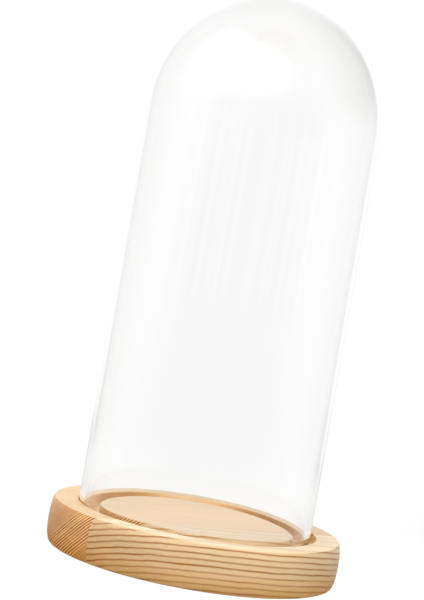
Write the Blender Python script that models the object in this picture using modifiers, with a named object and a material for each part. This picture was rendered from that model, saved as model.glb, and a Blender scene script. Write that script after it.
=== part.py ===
"""Bell jar dome: a clear glass cloche that stands in a groove turned in a round pine base.

The base is glued up from two boards with a vertical joint, and then turned as one disc.
The glass is a straight tube closed by a round dome, and it lifts straight up off the base.
Units are metres, +Z is up, and the origin is the centre of the base's underside.
"""

import math

import bpy
from mathutils import Vector

# Driving dimensions
GLASS_RADIUS = 0.0550          # outer radius of the tube
GLASS_WALL = 0.0025            # wall thickness
GLASS_HEIGHT = 0.2517          # rim to apex, outside
DOME_RISE = 0.0594             # height of the domed end above the straight tube
BASE_RADIUS = 0.0687           # at the widest height of its barrel-shaped side
BASE_HEIGHT = 0.0204
WIDEST_HEIGHT = 0.0103
TOP_RADIUS = 0.0672            # edge of the flat top
FOOT_RADIUS = 0.0673           # edge of the flat underside
PLATEAU_RADIUS = 0.0457        # raised disc that the display stands on, flush with the rim
GROOVE_RADIUS = 0.0565         # outer wall of the groove that takes the glass
GROOVE_DEPTH = 0.0050
GLUE_LINE_ANGLE = 30.3         # degrees from +X, the direction the boards run
GLUE_LINE_OFFSET = 0.0219      # from the base's centre towards the front right
DOME_OFFSET_X = -0.0012        # the glass stands against the left wall of its wider groove

# Edges and fits
GAP = 0.0003                   # left between pieces that touch
SIDE_POWER = 3.3               # how late the barrel-shaped side turns in towards its edges
GROOVE_EDGE_RADIUS = 0.0005    # broken edges of the plateau and of the groove's mouth

# Facets
TURNS = 72                     # steps round a turned piece
DOME_STEPS = 11                # steps from the straight tube to the apex
ROUND_STEPS = 4                # steps in the rounded rim of the glass
SIDE_STEPS = 5                 # steps from the side's widest height to either edge
CUTTER_SIZE = 0.4

PINE_LIGHT = (0.79, 0.58, 0.36)
PINE_DARK = (0.74, 0.50, 0.28)
CLEAR_GLASS = (0.96, 0.98, 0.98)


def clear_scene():
    for item in list(bpy.data.objects):
        bpy.data.objects.remove(item, do_unlink=True)


def new_collection(name):
    collection = bpy.data.collections.new(name)
    bpy.context.scene.collection.children.link(collection)
    return collection


def make_material(name, colour, roughness, metallic=0.0, transmission=0.0):
    material = bpy.data.materials.new(name)
    material.use_nodes = True
    shader = material.node_tree.nodes["Principled BSDF"]
    shader.inputs["Base Color"].default_value = (*colour, 1.0)
    shader.inputs["Roughness"].default_value = roughness
    shader.inputs["Metallic"].default_value = metallic
    shader.inputs["Transmission Weight"].default_value = transmission
    return material


def arc(centre_x, centre_z, radius_x, radius_z, start, end, steps):
    """Points of an elliptical arc in the profile plane, with its angles in degrees."""
    points = []
    for step in range(steps + 1):
        angle = math.radians(start + (end - start) * step / steps)
        points.append((centre_x + radius_x * math.cos(angle), centre_z + radius_z * math.sin(angle)))
    return points


def turned(name, profile, collection, material):
    """A solid of revolution about the object's own Z axis, from its outline at +X."""
    mesh = bpy.data.meshes.new(name)
    edges = [(index, index + 1) for index in range(len(profile) - 1)]
    mesh.from_pydata([(x, 0.0, z) for x, z in profile], edges, [])
    solid = bpy.data.objects.new(name, mesh)
    collection.objects.link(solid)
    mesh.materials.append(material)
    screw = solid.modifiers.new("turn", "SCREW")
    screw.axis = "Z"
    screw.steps = TURNS
    screw.render_steps = TURNS
    screw.use_merge_vertices = True
    screw.merge_threshold = 0.00001
    screw.use_smooth_shade = True
    return solid


def glass_profile():
    """Outline of the glass: apex, outer wall, rounded rim, inner wall, inner apex."""
    spring_line = GLASS_HEIGHT - DOME_RISE
    inner_radius = GLASS_RADIUS - GLASS_WALL
    half_wall = GLASS_WALL / 2.0
    outer = arc(0.0, spring_line, GLASS_RADIUS, DOME_RISE, 90.0, 0.0, DOME_STEPS)
    rim = arc(GLASS_RADIUS - half_wall, half_wall, half_wall, half_wall, 0.0, -180.0, ROUND_STEPS)
    inner = arc(0.0, spring_line, inner_radius, DOME_RISE - GLASS_WALL, 0.0, 90.0, DOME_STEPS)
    return outer + rim + inner


def barrel_side():
    """The side's outline, from the edge of the flat top to the edge of the flat underside."""
    points = []
    for step in range(2 * SIDE_STEPS + 1):
        share = math.cos(math.radians(90.0 * step / SIDE_STEPS))
        if share > 0.0:
            height = WIDEST_HEIGHT + (BASE_HEIGHT - WIDEST_HEIGHT) * share
            inset = BASE_RADIUS - TOP_RADIUS
        else:
            height = WIDEST_HEIGHT + WIDEST_HEIGHT * share
            inset = BASE_RADIUS - FOOT_RADIUS
        points.append((BASE_RADIUS - inset * abs(share) ** SIDE_POWER, height))
    return points


def base_profile():
    """Outline of the turned base: plateau, groove, rim, barrel-shaped side, underside."""
    top = BASE_HEIGHT
    floor = BASE_HEIGHT - GROOVE_DEPTH
    edge = GROOVE_EDGE_RADIUS
    points = [(0.0, top)]
    points += arc(PLATEAU_RADIUS - edge, top - edge, edge, edge, 90.0, 0.0, 2)
    points += [(PLATEAU_RADIUS, floor), (GROOVE_RADIUS, floor)]
    points += arc(GROOVE_RADIUS + edge, top - edge, edge, edge, 180.0, 90.0, 2)
    points += barrel_side()
    points += [(0.0, 0.0)]
    return points


def glue_plane_box(name, side, collection):
    """A block that covers one side of the glue plane, less half of the gap in the joint."""
    bpy.ops.mesh.primitive_cube_add(size=CUTTER_SIZE)
    block = bpy.context.active_object
    block.name = name
    for holder in list(block.users_collection):
        holder.objects.unlink(block)
    collection.objects.link(block)
    angle = math.radians(GLUE_LINE_ANGLE)
    block.rotation_euler = (0.0, 0.0, angle)
    across = Vector((math.sin(angle), -math.cos(angle), 0.0))
    block.location = across * (GLUE_LINE_OFFSET + side * (CUTTER_SIZE / 2.0 - GAP / 2.0))
    block.hide_render = True
    block.display_type = "WIRE"
    return block


def board(name, removed_side, parts, cutters, material):
    """One of the two boards: the whole turned base, less the other side of the glue plane."""
    piece = turned(name, base_profile(), parts, material)
    cut = piece.modifiers.new("glue_plane", "BOOLEAN")
    cut.operation = "DIFFERENCE"
    cut.object = glue_plane_box(name + "_cutter", removed_side, cutters)
    return piece


def glass_dome(parts, material):
    """The cloche, with its origin on its own axis at the rim, where it is lifted from."""
    dome = turned("glass_dome", glass_profile(), parts, material)
    dome.location = (DOME_OFFSET_X, 0.0, BASE_HEIGHT - GROOVE_DEPTH + GAP)
    return dome


def main():
    clear_scene()
    parts = new_collection("bell_jar_dome")
    cutters = new_collection("cutters")
    front_pine = make_material("pine_front_board", PINE_LIGHT, 0.55)
    rear_pine = make_material("pine_rear_board", PINE_DARK, 0.55)
    glass = make_material("clear_glass", CLEAR_GLASS, 0.02, transmission=1.0)
    board("base_front_board", -1.0, parts, cutters, front_pine)
    board("base_rear_board", 1.0, parts, cutters, rear_pine)
    glass_dome(parts, glass)


main()
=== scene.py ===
import math

import bmesh
import bpy
from mathutils import Matrix, Vector, noise


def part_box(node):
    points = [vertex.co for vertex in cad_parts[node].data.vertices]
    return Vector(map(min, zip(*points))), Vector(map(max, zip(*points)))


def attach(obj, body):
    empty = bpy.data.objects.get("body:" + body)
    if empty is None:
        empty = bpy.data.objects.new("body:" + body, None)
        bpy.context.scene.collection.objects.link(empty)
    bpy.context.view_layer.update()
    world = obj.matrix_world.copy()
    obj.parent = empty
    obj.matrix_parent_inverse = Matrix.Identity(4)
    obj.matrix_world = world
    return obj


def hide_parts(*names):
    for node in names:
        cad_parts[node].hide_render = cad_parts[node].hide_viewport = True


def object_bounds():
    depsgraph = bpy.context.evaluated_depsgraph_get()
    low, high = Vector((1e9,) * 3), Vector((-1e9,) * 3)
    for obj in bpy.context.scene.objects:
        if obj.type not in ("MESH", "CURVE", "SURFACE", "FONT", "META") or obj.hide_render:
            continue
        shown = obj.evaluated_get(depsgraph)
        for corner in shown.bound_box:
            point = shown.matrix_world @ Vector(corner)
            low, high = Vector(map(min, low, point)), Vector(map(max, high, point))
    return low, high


# Looks of the bell jar dome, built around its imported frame: a clear glass cloche that stands in
# the groove of a turned pine base, which is glued up from two boards. Lengths are in metres, +Z is
# up and -Y faces the viewer.

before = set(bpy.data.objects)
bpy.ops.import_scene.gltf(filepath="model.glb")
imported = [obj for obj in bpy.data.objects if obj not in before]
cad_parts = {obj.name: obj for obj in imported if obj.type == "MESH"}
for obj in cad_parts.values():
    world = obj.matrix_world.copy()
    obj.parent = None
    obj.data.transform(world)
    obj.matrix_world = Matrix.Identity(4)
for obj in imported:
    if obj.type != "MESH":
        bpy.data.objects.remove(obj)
cad_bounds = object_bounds()

# The frame's own sizes
rear_low, rear_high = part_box("base_rear_board")
front_low, front_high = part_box("base_front_board")
glass_low, glass_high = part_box("glass_dome")
BASE_RADIUS = (max(rear_high.x, front_high.x) - min(rear_low.x, front_low.x)) / 2.0
BASE_HEIGHT = rear_high.z
GLASS_RADIUS = (glass_high.x - glass_low.x) / 2.0
GLASS_CENTRE_X = (glass_high.x + glass_low.x) / 2.0
TOUCH_GAP = 0.0003                     # what the frame leaves between pieces that touch
GROOVE_FLOOR = glass_low.z - TOUCH_GAP

# Sizes of the glass that the frame's boxes don't give
GLASS_WALL = 0.0025
APEX_WALL = 0.0021                     # the blown end is a little thinner
DOME_RISE = 0.0594
BEAD_HEIGHT = 0.0045
RIM_BEAD = 0.0003                      # swelling of the fire-polished rim, on its inner side
FOOT_THICKENING = 0.0005               # extra wall near the rim, on the inside
FOOT_HEIGHT = 0.044                    # above the rim, where the thickening begins
GLASS_LEAN = math.radians(0.18)        # to the left, from a rim that isn't quite square
BORE_RIPPLE = 0.000012                 # lengthwise ripple drawn into the bore of the tube
RIPPLE_SCALE = 11.0                    # its noise, on a circle of radius 1
RIPPLE_FADE = 0.02                     # height over which it ends, from where the dome begins
RIPPLE_INNERMOST = 0.03                # it stays this far from the axis
GLASS_TURNS = 512
GLASS_COLOUR = (0.997, 0.998, 0.996, 1.0)
GLASS_IOR = 1.47

# Sizes of the base
PLATEAU_RADIUS = 0.0457
GROOVE_RADIUS = 0.0565
GROOVE_CORNER = 0.0004                 # radius left by the turning tool at the groove's floor
GROOVE_EDGE = 0.0005                   # rounding of the groove's two upper edges
GLUE_LINE_ANGLE = math.radians(30.3)   # direction the boards run, from +X
GLUE_LINE_OFFSET = 0.0219              # of the glue line from the centre, towards the front right
GLUE_FILM = 0.00003
TOP_RADIUS = 0.0672                    # edge of the flat top
FOOT_RADIUS = 0.0673                   # edge of the flat underside
WIDEST_HEIGHT = 0.0103                 # where the barrel-shaped side is widest
SIDE_POWER = 3.3                       # how late the side turns in towards its edges
EDGE_ROUND = 0.0007                    # sanded corners where the side meets top and underside
EDGE_WAVER = 0.00007                   # unevenness of hand-sanded edges
WAVERS = ((130.0, 1.0), (420.0, 0.6))  # its two noises: scale and share
WAVER_INNERMOST = PLATEAU_RADIUS - 0.002
BASE_TURNS = 360

# Directions in the base
ALONG = (math.cos(GLUE_LINE_ANGLE), math.sin(GLUE_LINE_ANGLE), 0.0)
ACROSS = (math.sin(GLUE_LINE_ANGLE), -math.cos(GLUE_LINE_ANGLE), 0.0)
UP = (0.0, 0.0, 1.0)

# The camera stands in front, a little above the base, and leans over to its left
CAMERA_PLACE = Vector((0.0, -0.660, 0.1266))
CAMERA_PITCH = math.radians(0.413)     # downwards
CAMERA_YAW = math.radians(-0.942)      # to the right is positive
CAMERA_ROLL = math.radians(9.975)
CAMERA_LENS = 84.31
CAMERA_SENSOR = 36.0


# ---------------------------------------------------------------- small tools

def srgb(red, green, blue):
    """A linear colour from the 0-255 values of a colour chart."""
    linear = []
    for value in (red, green, blue):
        value = value / 255.0
        linear.append(value / 12.92 if value <= 0.04045 else ((value + 0.055) / 1.055) ** 2.4)
    return (*linear, 1.0)


def grey(level):
    return (level, level, level, 1.0)


def arc(centre_x, centre_z, radius_x, radius_z, start, end, steps):
    """Points of an elliptical arc in the profile plane, with its angles in degrees."""
    points = []
    for step in range(steps + 1):
        angle = math.radians(start + (end - start) * step / steps)
        points.append((centre_x + radius_x * math.cos(angle), centre_z + radius_z * math.sin(angle)))
    return points


def line(start, end, steps):
    """Points between two profile points, without the two themselves."""
    points = []
    for step in range(1, steps):
        share = step / steps
        points.append((start[0] + (end[0] - start[0]) * share, start[1] + (end[1] - start[1]) * share))
    return points


def taper(start, end, steps):
    """Points of a smooth change of radius between two profile points, without the first."""
    points = []
    for step in range(1, steps + 1):
        share = step / steps
        ease = share * share * (3.0 - 2.0 * share)
        points.append((start[0] + (end[0] - start[0]) * ease, start[1] + (end[1] - start[1]) * share))
    return points


def turned(profile, turns):
    """A bmesh solid of revolution about Z, from an outline at +X that runs from axis to axis."""
    body = bmesh.new()
    rings = []
    for reach, height in profile:
        steps = turns if reach > 0.000001 else 1
        angles = [math.tau * step / steps for step in range(steps)]
        rings.append([
            body.verts.new((reach * math.cos(angle), reach * math.sin(angle), height))
            for angle in angles])
    for upper, lower in zip(rings, rings[1:]):
        for turn in range(turns):
            corners = [
                upper[turn % len(upper)], lower[turn % len(lower)],
                lower[(turn + 1) % len(lower)], upper[(turn + 1) % len(upper)]]
            body.faces.new(list(dict.fromkeys(corners)))
    bmesh.ops.recalc_face_normals(body, faces=body.faces)
    return body


def finished(name, body, material, sharp_angle=None):
    """Turns a bmesh into a smooth-shaded object."""
    mesh = bpy.data.meshes.new(name)
    body.to_mesh(mesh)
    body.free()
    mesh.shade_smooth()
    if sharp_angle:
        mesh.set_sharp_from_angle(angle=math.radians(sharp_angle))
    piece = bpy.data.objects.new(name, mesh)
    bpy.context.scene.collection.objects.link(piece)
    mesh.materials.append(material)
    return piece


class Nodes:
    """Short ways to add and link the nodes of one node tree."""

    def __init__(self, tree):
        self.tree = tree
        tree.nodes.clear()

    def add(self, kind, **settings):
        node = self.tree.nodes.new("ShaderNode" + kind)
        for name, value in settings.items():
            setattr(node, name, value)
        return node

    def feed(self, socket, value):
        if isinstance(value, bpy.types.NodeSocket):
            self.tree.links.new(value, socket)
        else:
            socket.default_value = value

    def math(self, operation, *values, clamp=False):
        node = self.add("Math", operation=operation, use_clamp=clamp)
        for socket, value in zip(node.inputs, values):
            self.feed(socket, value)
        return node.outputs[0]

    def product(self, first, *others):
        for other in others:
            first = self.math("MULTIPLY", first, other)
        return first

    def scaled(self, value, factor, added=0.0):
        return self.math("MULTIPLY_ADD", value, factor, added)

    def rest_of(self, share):
        return self.math("SUBTRACT", 1.0, share)

    def dot(self, vector, direction):
        node = self.add("VectorMath", operation="DOT_PRODUCT")
        self.feed(node.inputs[0], vector)
        self.feed(node.inputs[1], direction)
        return node.outputs["Value"]

    def combine(self, x, y, z):
        node = self.add("CombineXYZ")
        for socket, value in zip(node.inputs, (x, y, z)):
            self.feed(socket, value)
        return node.outputs[0]

    def split(self, vector):
        """The vector's parts along X, Y and Z."""
        return [self.dot(vector, axis) for axis in ((1.0, 0.0, 0.0), (0.0, 1.0, 0.0), UP)]

    def length(self, x, y):
        node = self.add("VectorMath", operation="LENGTH")
        self.feed(node.inputs[0], self.combine(x, y, 0.0))
        return node.outputs["Value"]

    def noise(self, vector, scale, detail=2.0, roughness=0.5):
        """Cloudy noise about 0, roughly from -1 to 1."""
        node = self.add("TexNoise")
        self.feed(node.inputs["Vector"], vector)
        node.inputs["Scale"].default_value = scale
        node.inputs["Detail"].default_value = detail
        node.inputs["Roughness"].default_value = roughness
        return self.scaled(node.outputs[0], 4.0, -2.0)

    def chance(self, value):
        """A number from 0 to 1 that differs for each whole value."""
        node = self.add("TexWhiteNoise", noise_dimensions="1D")
        self.feed(node.inputs["W"], value)
        return node.outputs["Value"]

    def step(self, value, low, high, start=0.0, end=1.0):
        """A smooth change from start to end as the value goes from low to high."""
        node = self.add("MapRange", interpolation_type="SMOOTHSTEP")
        for name, number in zip(("Value", "From Min", "From Max", "To Min", "To Max"),
                                (value, low, high, start, end)):
            self.feed(node.inputs[name], number)
        return node.outputs[0]

    def fade(self, value, low, high, start=1.0):
        """A smooth change from start to 0 as the value goes from low to high."""
        return self.step(value, low, high, start, 0.0)

    def mix(self, share, first, second, blend="MIX"):
        node = self.add("Mix", data_type="RGBA", blend_type=blend)
        self.feed(node.inputs[0], share)
        self.feed(node.inputs[6], first)
        self.feed(node.inputs[7], second)
        return node.outputs[2]

    def times(self, colour, red, green, blue):
        """The colour with each of its parts multiplied."""
        return self.mix(1.0, colour, self.combine(red, green, blue), "MULTIPLY")

    def tinted(self, share, colour, tint):
        """The colour multiplied by a fixed one, as far as the share says."""
        return self.mix(share, colour, self.mix(1.0, colour, (*tint, 1.0), "MULTIPLY"))


# ---------------------------------------------------------------- camera

def place_camera():
    camera = bpy.data.objects.new("camera", bpy.data.cameras.new("camera"))
    bpy.context.scene.collection.objects.link(camera)
    forward = Vector((
        math.sin(CAMERA_YAW) * math.cos(CAMERA_PITCH),
        math.cos(CAMERA_YAW) * math.cos(CAMERA_PITCH),
        -math.sin(CAMERA_PITCH)))
    right = Vector((math.cos(CAMERA_YAW), -math.sin(CAMERA_YAW), 0.0))
    upward = right.cross(forward)
    side = right * math.cos(CAMERA_ROLL) + upward * math.sin(CAMERA_ROLL)
    top = upward * math.cos(CAMERA_ROLL) - right * math.sin(CAMERA_ROLL)
    turn = Matrix((side, top, -forward)).transposed().to_4x4()
    camera.matrix_world = Matrix.Translation(CAMERA_PLACE) @ turn
    camera.data.lens = CAMERA_LENS
    camera.data.sensor_width = CAMERA_SENSOR
    camera.data.clip_start = 0.01
    bpy.context.scene.camera = camera


# ---------------------------------------------------------------- studio

# Levels are linear brightness. A direction has three parts: sideways to the right, depth away from
# the viewer, and rise. "Behind" is the cosine of its compass angle from straight behind the object.
# A pair is where a change begins and where it is complete.
WHITE = 1.005                          # a touch over 1, so that nothing falls short of it
BACKDROP_EDGE = (math.cos(math.radians(36.0)), math.cos(math.radians(25.0)))
WING_LEVEL = 0.82                      # of the walls on both sides of the backdrop
WING_EDGE = (0.3, 0.6)
ROOM_LEVELS = (0.51, 0.84)             # of the rest of the room: at the viewer, and at the sides
ROOM_SIDES = (-0.9, 0.0)
CEILING_LEVEL = 0.62
CEILING_RISE = (0.55, 0.95)
VIEWER_DEPTH = (-0.45, 0.1)            # where the viewer's part of the room ends
STRIPE_STRENGTH = 0.40
STRIPE_SCALE = 7.5
STRIPE_RISE = (0.10, 0.24)
SIDE_TINT = 0.03                       # how much warmer the left is, and cooler the right
SIDE_TINT_DEPTH = (0.4, 0.8)

CORNER_DIRECTION = (0.77, 0.25, 0.59)  # the middle of a dim corner at the upper right
CORNER_EDGE = (math.cos(math.radians(47.0)), math.cos(math.radians(9.0)))
CORNER_RISE = (0.05, 0.40)
CORNER_COLOUR = (0.25, 0.22, 0.17, 1.0)

# The softbox hangs at the viewer's left. Its sides are compass angles in radians from the viewer.
SOFTBOX_LEVEL = 3.0
SOFTBOX_SLOPE = -0.07                  # its lower edge drops to the left
SOFTBOX_BOTTOM = (0.06, 0.66)
SOFTBOX_TOP = (0.72, 0.96)
SOFTBOX_LEFT = (-2.0, -0.9)
SOFTBOX_RIGHT = (-0.35, 0.65)

UNDER_VIEWER_RISE = (-0.15, 0.02)      # below it, the viewer's side is black
TABLE_RISE = (-0.30, -0.02)            # and below this, all is the brown of a table
TABLE_COLOUR = (0.34, 0.27, 0.17, 1.0)

FLOOR_RADIUS = 40.0
FLOOR_DROP = 0.0001                    # below the object's underside
FLOOR_WHITE = (0.19, 0.46)             # distances over which its white turns into the room's colour

# Lamps: the direction that each shines from, and its strength
LAMPS = {
    "fill": ((0.88, -0.36, 0.32), 1.7),
    "key": ((-0.68, -0.54, 0.50), 1.6),
    "top": ((0.0, 0.35, 1.0), 0.65),
}
LAMP_ANGLE = math.radians(50.0)        # how wide each lamp looks, which softens its shadows

MAX_BOUNCES = 80
GLASS_BOUNCES = 70


def compass_angle(nodes, sideways, depth):
    """Angle of a direction about Z, from the viewer's side, positive to the right."""
    return nodes.math("ARCTAN2", sideways, nodes.product(depth, -1.0))


def room_stripes(nodes, sideways, depth, rise):
    """Upright light and dark stripes low in the viewer's part of the room."""
    compass = compass_angle(nodes, sideways, depth)
    stripes = nodes.noise(nodes.combine(compass, 0.0, 0.0), STRIPE_SCALE)
    low = nodes.fade(rise, *STRIPE_RISE, STRIPE_STRENGTH)
    return nodes.product(stripes, low, nodes.fade(depth, *VIEWER_DEPTH))


def studio_colour(nodes, sideways, depth, rise, striped):
    """Colour of the studio in a direction: a white backdrop behind the object, a band of dimmer
    walls beside it, and a room that is brighter at the sides than towards the viewer."""
    reach = nodes.length(sideways, depth)
    behind = nodes.math("DIVIDE", depth, nodes.math("MAXIMUM", reach, 0.0001))
    level = nodes.step(behind, *ROOM_SIDES, *ROOM_LEVELS)
    if striped:
        level = nodes.math("ADD", level, room_stripes(nodes, sideways, depth, rise))
    for share, goal in (
            (nodes.step(behind, *WING_EDGE), WING_LEVEL),
            (nodes.step(behind, *BACKDROP_EDGE), WHITE),
            (nodes.step(rise, *CEILING_RISE), CEILING_LEVEL)):
        level = nodes.scaled(share, nodes.math("SUBTRACT", goal, level), level)
    tint = nodes.product(sideways, nodes.fade(depth, *SIDE_TINT_DEPTH))
    return nodes.combine(
        nodes.product(level, nodes.scaled(tint, -SIDE_TINT, 1.0)),
        level,
        nodes.product(level, nodes.scaled(tint, SIDE_TINT, 1.0)))


def studio_world():
    """Soft studio light: a white backdrop, a softbox at the left, and a dimmer room around."""
    world = bpy.data.worlds.new("studio")
    bpy.context.scene.world = world
    world.use_nodes = True
    nodes = Nodes(world.node_tree)
    direction = nodes.add("TexCoord").outputs["Generated"]
    sideways, depth, rise = nodes.split(direction)
    colour = studio_colour(nodes, sideways, depth, rise, True)

    corner = nodes.dot(direction, tuple(Vector(CORNER_DIRECTION).normalized()))
    corner = nodes.product(nodes.step(corner, *CORNER_EDGE), nodes.step(rise, *CORNER_RISE))
    colour = nodes.mix(corner, colour, CORNER_COLOUR)

    compass = compass_angle(nodes, sideways, depth)
    softbox = nodes.product(
        nodes.step(nodes.scaled(compass, SOFTBOX_SLOPE, rise), *SOFTBOX_BOTTOM),
        nodes.fade(rise, *SOFTBOX_TOP),
        nodes.fade(compass, *SOFTBOX_RIGHT),
        nodes.step(compass, *SOFTBOX_LEFT))
    colour = nodes.mix(softbox, colour, grey(SOFTBOX_LEVEL))

    under_viewer = nodes.product(nodes.fade(depth, *VIEWER_DEPTH), nodes.fade(rise, *UNDER_VIEWER_RISE))
    colour = nodes.mix(under_viewer, colour, grey(0.0))
    colour = nodes.mix(nodes.step(rise, *TABLE_RISE), TABLE_COLOUR, colour)
    background = nodes.add("Background")
    nodes.feed(background.inputs["Color"], colour)
    background.inputs["Strength"].default_value = 1.0
    output = nodes.add("OutputWorld")
    nodes.feed(output.inputs["Surface"], background.outputs[0])


def soft_lamp(name, source, strength):
    """A large soft lamp, kept out of the glass's reflections."""
    data = bpy.data.lights.new(name, "SUN")
    data.energy = strength
    data.angle = LAMP_ANGLE
    lamp = bpy.data.objects.new(name, data)
    bpy.context.scene.collection.objects.link(lamp)
    lamp.rotation_euler = Vector(source).to_track_quat("Z", "Y").to_euler()
    lamp.visible_glossy = False
    lamp.visible_transmission = False


def plain_floor():
    """A seamless white floor that runs into the backdrop."""
    body = bmesh.new()
    bmesh.ops.create_circle(body, cap_ends=True, segments=96, radius=FLOOR_RADIUS)
    material = bpy.data.materials.new("floor_white")
    material.use_nodes = True
    nodes = Nodes(material.node_tree)
    sideways, depth, _ = nodes.split(nodes.add("TexCoord").outputs["Object"])
    reach = nodes.length(sideways, depth)
    safe_reach = nodes.math("MAXIMUM", reach, 0.001)
    distant = studio_colour(
        nodes, nodes.math("DIVIDE", sideways, safe_reach), nodes.math("DIVIDE", depth, safe_reach),
        0.0, False)
    shader = nodes.add("Emission")
    nodes.feed(shader.inputs["Color"], nodes.mix(nodes.step(reach, *FLOOR_WHITE), grey(WHITE), distant))
    output = nodes.add("OutputMaterial")
    nodes.feed(output.inputs["Surface"], shader.outputs[0])
    floor = finished("floor", body, material)
    floor.location.z = cad_bounds[0].z - FLOOR_DROP
    floor.visible_diffuse = False
    floor.visible_glossy = False


def light_bounces():
    """Enough bounces for light to travel round inside the wall of the glass."""
    cycles = bpy.context.scene.cycles
    cycles.max_bounces = MAX_BOUNCES
    cycles.glossy_bounces = GLASS_BOUNCES
    cycles.transmission_bounces = GLASS_BOUNCES


# ---------------------------------------------------------------- wood

# Where each board lay in its tree, and its colours. Widths and wandering are in ring spacings.
FRONT_PINE = {
    "pith": (0.0949, -0.1951),     # the tree's centre: across the boards, and above the underside
    "climb": -0.0151,              # rise of the tree's centre line along the board
    "spacing": 0.002561,
    "phase": 0.40,
    "light": srgb(214, 184, 144),
    "dark": srgb(152, 96, 32),
    "painted_paling": (1.12, 1.22, 1.30),    # painted sheen: how much paler the top is painted; the walls under the glass are painted paler by it too, as painted light
    "under_glass_light": (1.10, 1.09, 1.10),   # painted light: how much paler again it is painted under the glass, making up for the glass darkening what is seen through it
    "half_widths": (0.17, 0.12),   # of the dark lines, on their inner and outer sides
    "crispness": 2.0,              # how sharply the dark lines end
    "marked": ((40.0, 55.0), (200.0, 220.0)),  # rings where the strong ones begin, and end
    "faint": 0.35,                 # strength of the others
    "plain_shade": 0.30,           # share of the dark colour between the faint ones
    "top_shade": 0.0,              # least share of it on the sanded top
    "quiver": 0.085,               # how far the rings wander
    "unevenness": 0.38,            # how much their strengths differ
    "seed": 3.1,
}
REAR_PINE = {
    "pith": (-0.0611, 0.1038),
    "climb": 0.0297,
    "spacing": 0.001249,
    "phase": 0.29,
    "light": srgb(246, 197, 133),
    "dark": srgb(106, 30, 0),
    "painted_paling": (1.05, 1.28, 1.58),
    "under_glass_light": (1.35, 1.40, 1.56),
    "half_widths": (0.27, 0.25),
    "crispness": 4.0,
    "marked": ((86.5, 88.5), (99.0, 101.0)),
    "faint": 0.12,
    "plain_shade": 0.40,
    "top_shade": 0.35,
    "quiver": 0.035,
    "unevenness": 0.35,
    "seed": 7.7,
}

# Noises in the wood. Scales are per metre; a stretch under 1 draws the noise out along the board.
RING_STRETCH = 0.35
SWAY_SCALE = 38.0
SWAY = 0.10                        # slow wandering of the rings, in ring spacings
QUIVER_SCALE = 170.0
PATCH_STRETCH = 0.5
PATCH_SCALE = 90.0
PATCH_STRENGTH = (0.28, 0.97)      # swing and middle of a ring's strength along its length
FIBRE_STRETCH = 0.06
FIBRE_SCALE = 1500.0
FIBRE_SHADE = 0.045
DRIFT_STRETCH = 0.3
DRIFT_SCALE = 60.0
DRIFT_SHADE = 0.050
DRIFT_BLUE = 0.03                  # more of the drift in blue
HUE_STRETCH = 0.5
HUE_SCALE = 75.0
HUE_RED = 0.012
HUE_BLUE = -0.04
PORE_STRETCH = 2.5                 # squeezes the pores across the rings
PORE_SCALE = 330.0
PORE_SHADES = (0.09, 0.16, 0.30)   # what the pores of end grain do to red, green and blue

# What some parts of the wood keep of its colour, and where sheen and shade are painted on it
SHEEN_RING_STRENGTH = 0.35                   # strength that the rings keep on the top, where a painted sheen washes them out
END_GRAIN = (0.66, 0.62, 0.55)
LOWER_SIDE_SHADE = (0.94, 0.80, 0.56)    # painted shade: the side is darker and warmer towards the underside
LOWER_SHADE_HEIGHTS = (0.001, 0.013)
GROOVE_END_SHADE = (1.02, 0.92, 0.66)   # painted shade: darker and more orange on the groove's outer wall, away from its middle stretches
GROOVE_MIDDLE = (0.010, 0.038)     # where those stretches end, from the YZ plane
TOP_NORMAL = (0.5, 0.95)           # slopes between which a surface counts as the top
COVERED_REACH = (GROOVE_RADIUS - 0.0002, GROOVE_RADIUS + 0.0008)
OUTER_WALL_REACH = (GROOVE_RADIUS - 0.0012, GROOVE_RADIUS - 0.0002)
GROOVE_FLOOR_HEIGHTS = (GROOVE_FLOOR + 0.0002, GROOVE_FLOOR + 0.0015)

# Light of the wood's own inside the groove, which stands for light that the glass leads down
WALL_GLOW = 0.20                   # of the walls
FAR_WALL_GLOW = 0.32               # added in the middle of the outer wall
SEAT_GLOW = 0.45                   # added where the glass stands closest to the outer wall
SEAT_PLACE = (-0.0550, -0.0490)    # where that ends, along X
FLOOR_GLOW = 0.15                  # added at the groove's floor

# The sealed surface
ROUGHNESS = 0.33
LATEWOOD_ROUGHNESS = -0.04
FIBRE_ROUGHNESS = 0.03
SPECULAR = 0.22
LATEWOOD_RELIEF = 0.8
FIBRE_RELIEF = 0.35
BUMP_STRENGTH = 0.35
BUMP_DISTANCE = 0.00006


def growth_rings(nodes, wood, along, across, height):
    """Rings counted outwards from the tree's centre: the ring number with its fraction, that of the
    nearest dark line, how dark this line is at the point, and the distance from the centre."""
    offset = nodes.scaled(along, -wood["climb"], -wood["pith"][1])
    rise = nodes.math("ADD", height, offset)
    radius = nodes.length(nodes.math("SUBTRACT", across, wood["pith"][0]), rise)
    seeded = nodes.combine(nodes.scaled(along, RING_STRETCH, wood["seed"]), across, height)
    ring = nodes.scaled(radius, 1.0 / wood["spacing"], -wood["phase"])
    ring = nodes.scaled(nodes.noise(seeded, SWAY_SCALE, detail=1.0), SWAY, ring)
    ring = nodes.scaled(nodes.noise(seeded, QUIVER_SCALE), wood["quiver"], ring)
    count = nodes.math("ROUND", ring)
    inside = nodes.math("SUBTRACT", ring, count)
    outer_side = nodes.math("GREATER_THAN", inside, 0.0)
    inner_width, outer_width = wood["half_widths"]
    width = nodes.scaled(outer_side, outer_width - inner_width, inner_width)
    far = nodes.math("ABSOLUTE", nodes.math("DIVIDE", inside, width))
    far = nodes.math("POWER", far, wood["crispness"])
    return ring, count, nodes.math("EXPONENT", nodes.product(far, -1.0)), radius


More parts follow.
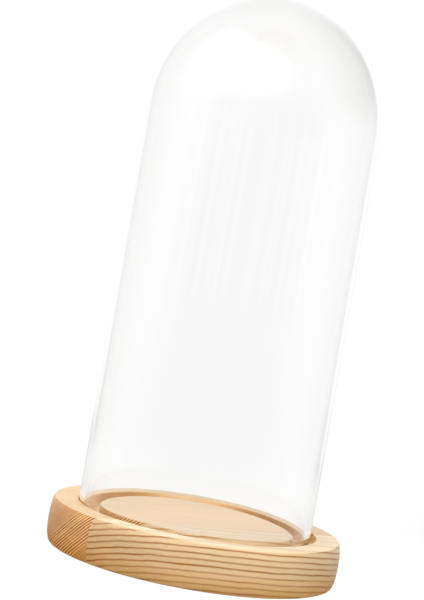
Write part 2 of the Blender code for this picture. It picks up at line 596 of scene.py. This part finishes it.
def ring_strength(nodes, wood, count, marked, upward, along):
    """Each ring has its own strength, which changes along it and is weaker on the top, where a painted
    sheen washes it out.
    """
    chance = nodes.chance(nodes.math("ADD", count, wood["seed"]))
    patch_place = nodes.combine(nodes.product(along, PATCH_STRETCH), count, wood["seed"])
    patches = nodes.noise(patch_place, PATCH_SCALE, detail=1.0)
    return nodes.product(
        nodes.scaled(chance, -wood["unevenness"], 1.0),
        nodes.step(marked, 0.0, 1.0, wood["faint"], 1.0),
        nodes.scaled(upward, SHEEN_RING_STRENGTH - 1.0, 1.0),
        nodes.scaled(patches, *PATCH_STRENGTH))


def board_colour(nodes, wood, colour, fibres, along, across, height):
    """The colour with its fibres and its slow drift along the board, and painted shade that makes it
    darker and warmer low on the side.
    """
    drift_place = nodes.combine(nodes.scaled(along, DRIFT_STRETCH, wood["seed"]), across, height)
    drift = nodes.noise(drift_place, DRIFT_SCALE, detail=3.0)
    shade = nodes.scaled(drift, DRIFT_SHADE, nodes.scaled(fibres, FIBRE_SHADE, 1.0))
    colour = nodes.times(colour, shade, shade, nodes.scaled(drift, DRIFT_BLUE, shade))
    hue_place = nodes.combine(nodes.product(along, HUE_STRETCH), across, wood["seed"])
    hue = nodes.noise(hue_place, HUE_SCALE)
    colour = nodes.times(colour, nodes.scaled(hue, HUE_RED, 1.0), 1.0, nodes.scaled(hue, HUE_BLUE, 1.0))
    # Painted shade, darker and warmer low on the side
    return nodes.tinted(nodes.fade(height, *LOWER_SHADE_HEIGHTS), colour, LOWER_SIDE_SHADE)


def end_grain_colour(nodes, colour, end_grain, along, radius, height):
    """End grain is darker, with pores."""
    colour = nodes.tinted(end_grain, colour, END_GRAIN)
    pore_place = nodes.combine(along, nodes.product(radius, PORE_STRETCH), height)
    pores = nodes.product(nodes.noise(pore_place, PORE_SCALE, detail=3.0, roughness=0.65), end_grain)
    return nodes.times(colour, *(nodes.scaled(pores, shade, 1.0) for shade in PORE_SHADES))


def covered_colour(nodes, wood, colour, place, upward, end_grain):
    """Colour and glow of the top, and of the groove and plateau under the glass: a painted sheen on the
    top, painted light that makes the covered wood paler, painted shade at the ends of the outer wall,
    and a glow that stands for light.
    """
    sideways, depth, height = nodes.split(place)
    reach = nodes.length(sideways, depth)
    covered = nodes.fade(reach, *COVERED_REACH)
    outer_wall = nodes.product(nodes.step(reach, *OUTER_WALL_REACH), covered)
    middle = nodes.fade(nodes.math("ABSOLUTE", sideways), *GROOVE_MIDDLE)
    far_wall = nodes.product(outer_wall, middle)
    shaded_wall_ends = nodes.product(outer_wall, nodes.rest_of(middle))

    # Painted sheen on the top, and painted light that makes the walls under the glass paler
    paling_share = nodes.product(covered, nodes.rest_of(end_grain))
    paling_share = nodes.math("MAXIMUM", upward, nodes.math("SUBTRACT", paling_share, shaded_wall_ends, clamp=True))
    colour = nodes.tinted(paling_share, colour, wood["painted_paling"])
    # Painted shade at the ends of the groove's outer wall
    colour = nodes.tinted(nodes.product(shaded_wall_ends, nodes.rest_of(upward)), colour, GROOVE_END_SHADE)
    # Painted light: the top and the middle of the outer wall under the glass are painted paler still
    under_glass_light = nodes.product(covered, nodes.math("MAXIMUM", upward, far_wall))
    colour = nodes.tinted(under_glass_light, colour, wood["under_glass_light"])

    glow = nodes.scaled(upward, -WALL_GLOW, WALL_GLOW)
    glow = nodes.scaled(far_wall, FAR_WALL_GLOW, glow)
    glow = nodes.scaled(outer_wall, nodes.fade(sideways, *SEAT_PLACE, SEAT_GLOW), glow)
    on_floor = nodes.fade(height, *GROOVE_FLOOR_HEIGHTS, FLOOR_GLOW)
    return colour, nodes.product(covered, nodes.math("ADD", glow, on_floor))


def pine(name, wood):
    """Clear-sealed pine. Its rings are cylinders about the tree's centre, cut by the turned form."""
    material = bpy.data.materials.new(name)
    material.use_nodes = True
    nodes = Nodes(material.node_tree)
    coordinates = nodes.add("TexCoord")
    place = coordinates.outputs["Object"]
    normal = coordinates.outputs["Normal"]
    along, across, height = (nodes.dot(place, direction) for direction in (ALONG, ACROSS, UP))
    upward = nodes.step(nodes.dot(normal, UP), *TOP_NORMAL)
    facing_end = nodes.dot(normal, ALONG)
    end_grain = nodes.product(facing_end, facing_end)

    ring, count, latewood, radius = growth_rings(nodes, wood, along, across, height)
    begin, end = wood["marked"]
    marked = nodes.product(nodes.step(ring, *begin), nodes.fade(ring, *end))
    latewood = nodes.product(latewood, ring_strength(nodes, wood, count, marked, upward, along))
    shaded = nodes.fade(marked, 0.0, 1.0, wood["plain_shade"])
    shaded = nodes.math("MAXIMUM", shaded, nodes.product(upward, wood["top_shade"]))
    colour = nodes.mix(shaded, wood["light"], wood["dark"])
    colour = nodes.mix(latewood, colour, wood["dark"])
    fibre_place = nodes.combine(nodes.product(along, FIBRE_STRETCH), across, height)
    fibres = nodes.noise(fibre_place, FIBRE_SCALE, detail=3.0, roughness=0.6)
    colour = board_colour(nodes, wood, colour, fibres, along, across, height)
    colour = end_grain_colour(nodes, colour, end_grain, along, radius, height)
    colour, glow = covered_colour(nodes, wood, colour, place, upward, end_grain)

    roughness = nodes.scaled(latewood, LATEWOOD_ROUGHNESS, ROUGHNESS)
    roughness = nodes.scaled(fibres, FIBRE_ROUGHNESS, roughness)
    bump = nodes.add("Bump")
    bump.inputs["Strength"].default_value = BUMP_STRENGTH
    bump.inputs["Distance"].default_value = BUMP_DISTANCE
    relief = nodes.scaled(latewood, LATEWOOD_RELIEF, nodes.product(fibres, FIBRE_RELIEF))
    nodes.feed(bump.inputs["Height"], relief)

    shader = nodes.add("BsdfPrincipled")
    shader.inputs["Specular IOR Level"].default_value = SPECULAR
    nodes.feed(shader.inputs["Base Color"], colour)
    nodes.feed(shader.inputs["Emission Color"], colour)
    nodes.feed(shader.inputs["Emission Strength"], glow)
    nodes.feed(shader.inputs["Roughness"], roughness)
    nodes.feed(shader.inputs["Normal"], bump.outputs[0])
    output = nodes.add("OutputMaterial")
    nodes.feed(output.inputs["Surface"], shader.outputs[0])
    return material


def side_radius(height):
    """Radius of the barrel-shaped side at a height."""
    if height > WIDEST_HEIGHT:
        share = (height - WIDEST_HEIGHT) / (BASE_HEIGHT - WIDEST_HEIGHT)
        return BASE_RADIUS - (BASE_RADIUS - TOP_RADIUS) * share ** SIDE_POWER
    share = (WIDEST_HEIGHT - height) / WIDEST_HEIGHT
    return BASE_RADIUS - (BASE_RADIUS - FOOT_RADIUS) * share ** SIDE_POWER


def barrel_side(steps):
    """The side's outline, with its two edges sanded round, from the flat top to the underside."""
    slope = SIDE_POWER * (BASE_RADIUS - TOP_RADIUS) / (BASE_HEIGHT - WIDEST_HEIGHT)
    lean = math.atan(slope)
    drop = EDGE_ROUND * (1.0 - math.sin(lean))
    inset = EDGE_ROUND * math.cos(lean)
    lean = math.degrees(lean)
    top_reach = side_radius(BASE_HEIGHT - drop) - inset
    foot_reach = side_radius(drop) - inset
    points = arc(top_reach, BASE_HEIGHT - EDGE_ROUND, EDGE_ROUND, EDGE_ROUND, 90.0, lean, 6)
    for step in range(1, steps):
        height = BASE_HEIGHT - drop + (2.0 * drop - BASE_HEIGHT) * step / steps
        points.append((side_radius(height), height))
    return points + arc(foot_reach, EDGE_ROUND, EDGE_ROUND, EDGE_ROUND, -lean, -90.0, 6)


def base_profile():
    """Outline of the turned base: plateau, groove, rim, slightly bulging side, underside."""
    top = BASE_HEIGHT
    floor = GROOVE_FLOOR
    edge = GROOVE_EDGE
    corner = GROOVE_CORNER
    outline = [(0.0, top)]
    outline += line((0.0, top), (PLATEAU_RADIUS - edge, top), 12)
    outline += arc(PLATEAU_RADIUS - edge, top - edge, edge, edge, 90.0, 0.0, 5)
    outline += line((PLATEAU_RADIUS, top - edge), (PLATEAU_RADIUS, floor + corner), 4)
    outline += arc(PLATEAU_RADIUS + corner, floor + corner, corner, corner, 180.0, 270.0, 4)
    outline += line((PLATEAU_RADIUS + corner, floor), (GROOVE_RADIUS - corner, floor), 6)
    outline += arc(GROOVE_RADIUS - corner, floor + corner, corner, corner, 270.0, 360.0, 4)
    outline += line((GROOVE_RADIUS, floor + corner), (GROOVE_RADIUS, top - edge), 4)
    outline += arc(GROOVE_RADIUS + edge, top - edge, edge, edge, 180.0, 90.0, 5)
    side = barrel_side(28)
    outline += line((GROOVE_RADIUS + edge, top), side[0], 6)
    outline += side
    outline += line(side[-1], (0.0, 0.0), 10)
    outline.append((0.0, 0.0))
    return outline


def board(name, node, side, material):
    """One board of the base: the turned form cut at the glue line, with slightly uneven edges. The
    side is 1 for the board in front of the glue line and -1 for the one behind it."""
    body = turned(base_profile(), BASE_TURNS)
    for vertex in body.verts:
        place = vertex.co
        reach = math.hypot(place.x, place.y)
        if reach > WAVER_INNERMOST and place.z > 0.0001:
            spot = Vector((place.x, place.y, place.z * 2.0))
            waver = sum(share * noise.noise(spot * scale) for scale, share in WAVERS)
            scale = 1.0 + EDGE_WAVER * waver / reach
            place.x *= scale
            place.y *= scale
    across = Vector(ACROSS)
    plane_point = across * (GLUE_LINE_OFFSET + side * GLUE_FILM / 2.0)
    cut = bmesh.ops.bisect_plane(
        body, geom=body.verts[:] + body.edges[:] + body.faces[:], dist=0.0000001,
        plane_co=plane_point, plane_no=across, clear_inner=side > 0, clear_outer=side < 0)
    seam = [item for item in cut["geom_cut"] if isinstance(item, bmesh.types.BMEdge)]
    bmesh.ops.contextual_create(body, geom=seam)
    bmesh.ops.recalc_face_normals(body, faces=body.faces)
    piece = finished(name, body, material, sharp_angle=40.0)
    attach(piece, "base")
    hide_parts(node)
    return piece


# ---------------------------------------------------------------- glass

def clear_glass():
    material = bpy.data.materials.new("clear_glass")
    material.use_nodes = True
    nodes = Nodes(material.node_tree)
    shader = nodes.add("BsdfPrincipled")
    shader.inputs["Base Color"].default_value = GLASS_COLOUR
    shader.inputs["Roughness"].default_value = 0.0
    shader.inputs["IOR"].default_value = GLASS_IOR
    shader.inputs["Transmission Weight"].default_value = 1.0
    output = nodes.add("OutputMaterial")
    nodes.feed(output.inputs["Surface"], shader.outputs[0])
    return material


def glass_profile():
    """Outline of the glass: apex, outer wall, rounded rim with its bead, bore, inner apex."""
    spring_line = glass_high.z - DOME_RISE
    bottom = glass_low.z
    bore = GLASS_RADIUS - GLASS_WALL
    foot_bore = bore - FOOT_THICKENING
    half_wall = (GLASS_RADIUS - foot_bore + RIM_BEAD) / 2.0
    rim_top = bottom + half_wall
    bead_top = bottom + BEAD_HEIGHT
    foot_top = bottom + FOOT_HEIGHT
    outline = arc(0.0, spring_line, GLASS_RADIUS, DOME_RISE, 90.0, 0.0, 44)
    outline += line((GLASS_RADIUS, spring_line), (GLASS_RADIUS, rim_top), 8)
    outline += arc(GLASS_RADIUS - half_wall, rim_top, half_wall, half_wall, 0.0, -180.0, 12)
    outline += taper((foot_bore - RIM_BEAD, rim_top), (foot_bore, bead_top), 7)
    outline += taper((foot_bore, bead_top), (bore, foot_top), 24)
    outline += line((bore, foot_top), (bore, spring_line), 8)
    outline += arc(0.0, spring_line, bore, DOME_RISE - APEX_WALL, 0.0, 90.0, 44)
    return outline


def glass_cloche():
    """The blown glass, with the faint ripple that drawing a tube leaves along its bore. The lamps'
    light passes it without a shadow, as it passes clear glass."""
    body = turned(glass_profile(), GLASS_TURNS)
    spring_line = glass_high.z - DOME_RISE
    widest_bore = GLASS_RADIUS - GLASS_WALL * 0.8
    for vertex in body.verts:
        place = vertex.co
        reach = math.hypot(place.x, place.y)
        if reach < RIPPLE_INNERMOST or reach > widest_bore:
            continue
        turn = Vector((place.x, place.y, 0.0)) / reach
        ripple = noise.noise(Vector((turn.x * RIPPLE_SCALE, turn.y * RIPPLE_SCALE, place.z)))
        fade = 1.0 - max(0.0, min(1.0, (place.z - spring_line) / RIPPLE_FADE))
        scale = (reach + BORE_RIPPLE * ripple * fade) / reach
        place.x *= scale
        place.y *= scale
    bmesh.ops.rotate(
        body, verts=body.verts, cent=(-GLASS_RADIUS, 0.0, glass_low.z),
        matrix=Matrix.Rotation(-GLASS_LEAN, 3, "Y"))
    bmesh.ops.translate(body, verts=body.verts, vec=(GLASS_CENTRE_X, 0.0, 0.0))
    piece = finished("glass_cloche", body, clear_glass())
    piece.visible_shadow = False
    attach(piece, "dome")
    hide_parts("glass_dome")
    return piece


# ---------------------------------------------------------------- scene

place_camera()
studio_world()
for lamp_name, (lamp_source, lamp_strength) in LAMPS.items():
    soft_lamp(lamp_name, lamp_source, lamp_strength)
plain_floor()
light_bounces()
bpy.context.scene.view_settings.view_transform = "Standard"
board("front_board", "base_front_board", 1, pine("pine_front_board", FRONT_PINE))
board("rear_board", "base_rear_board", -1, pine("pine_rear_board", REAR_PINE))
glass_cloche()
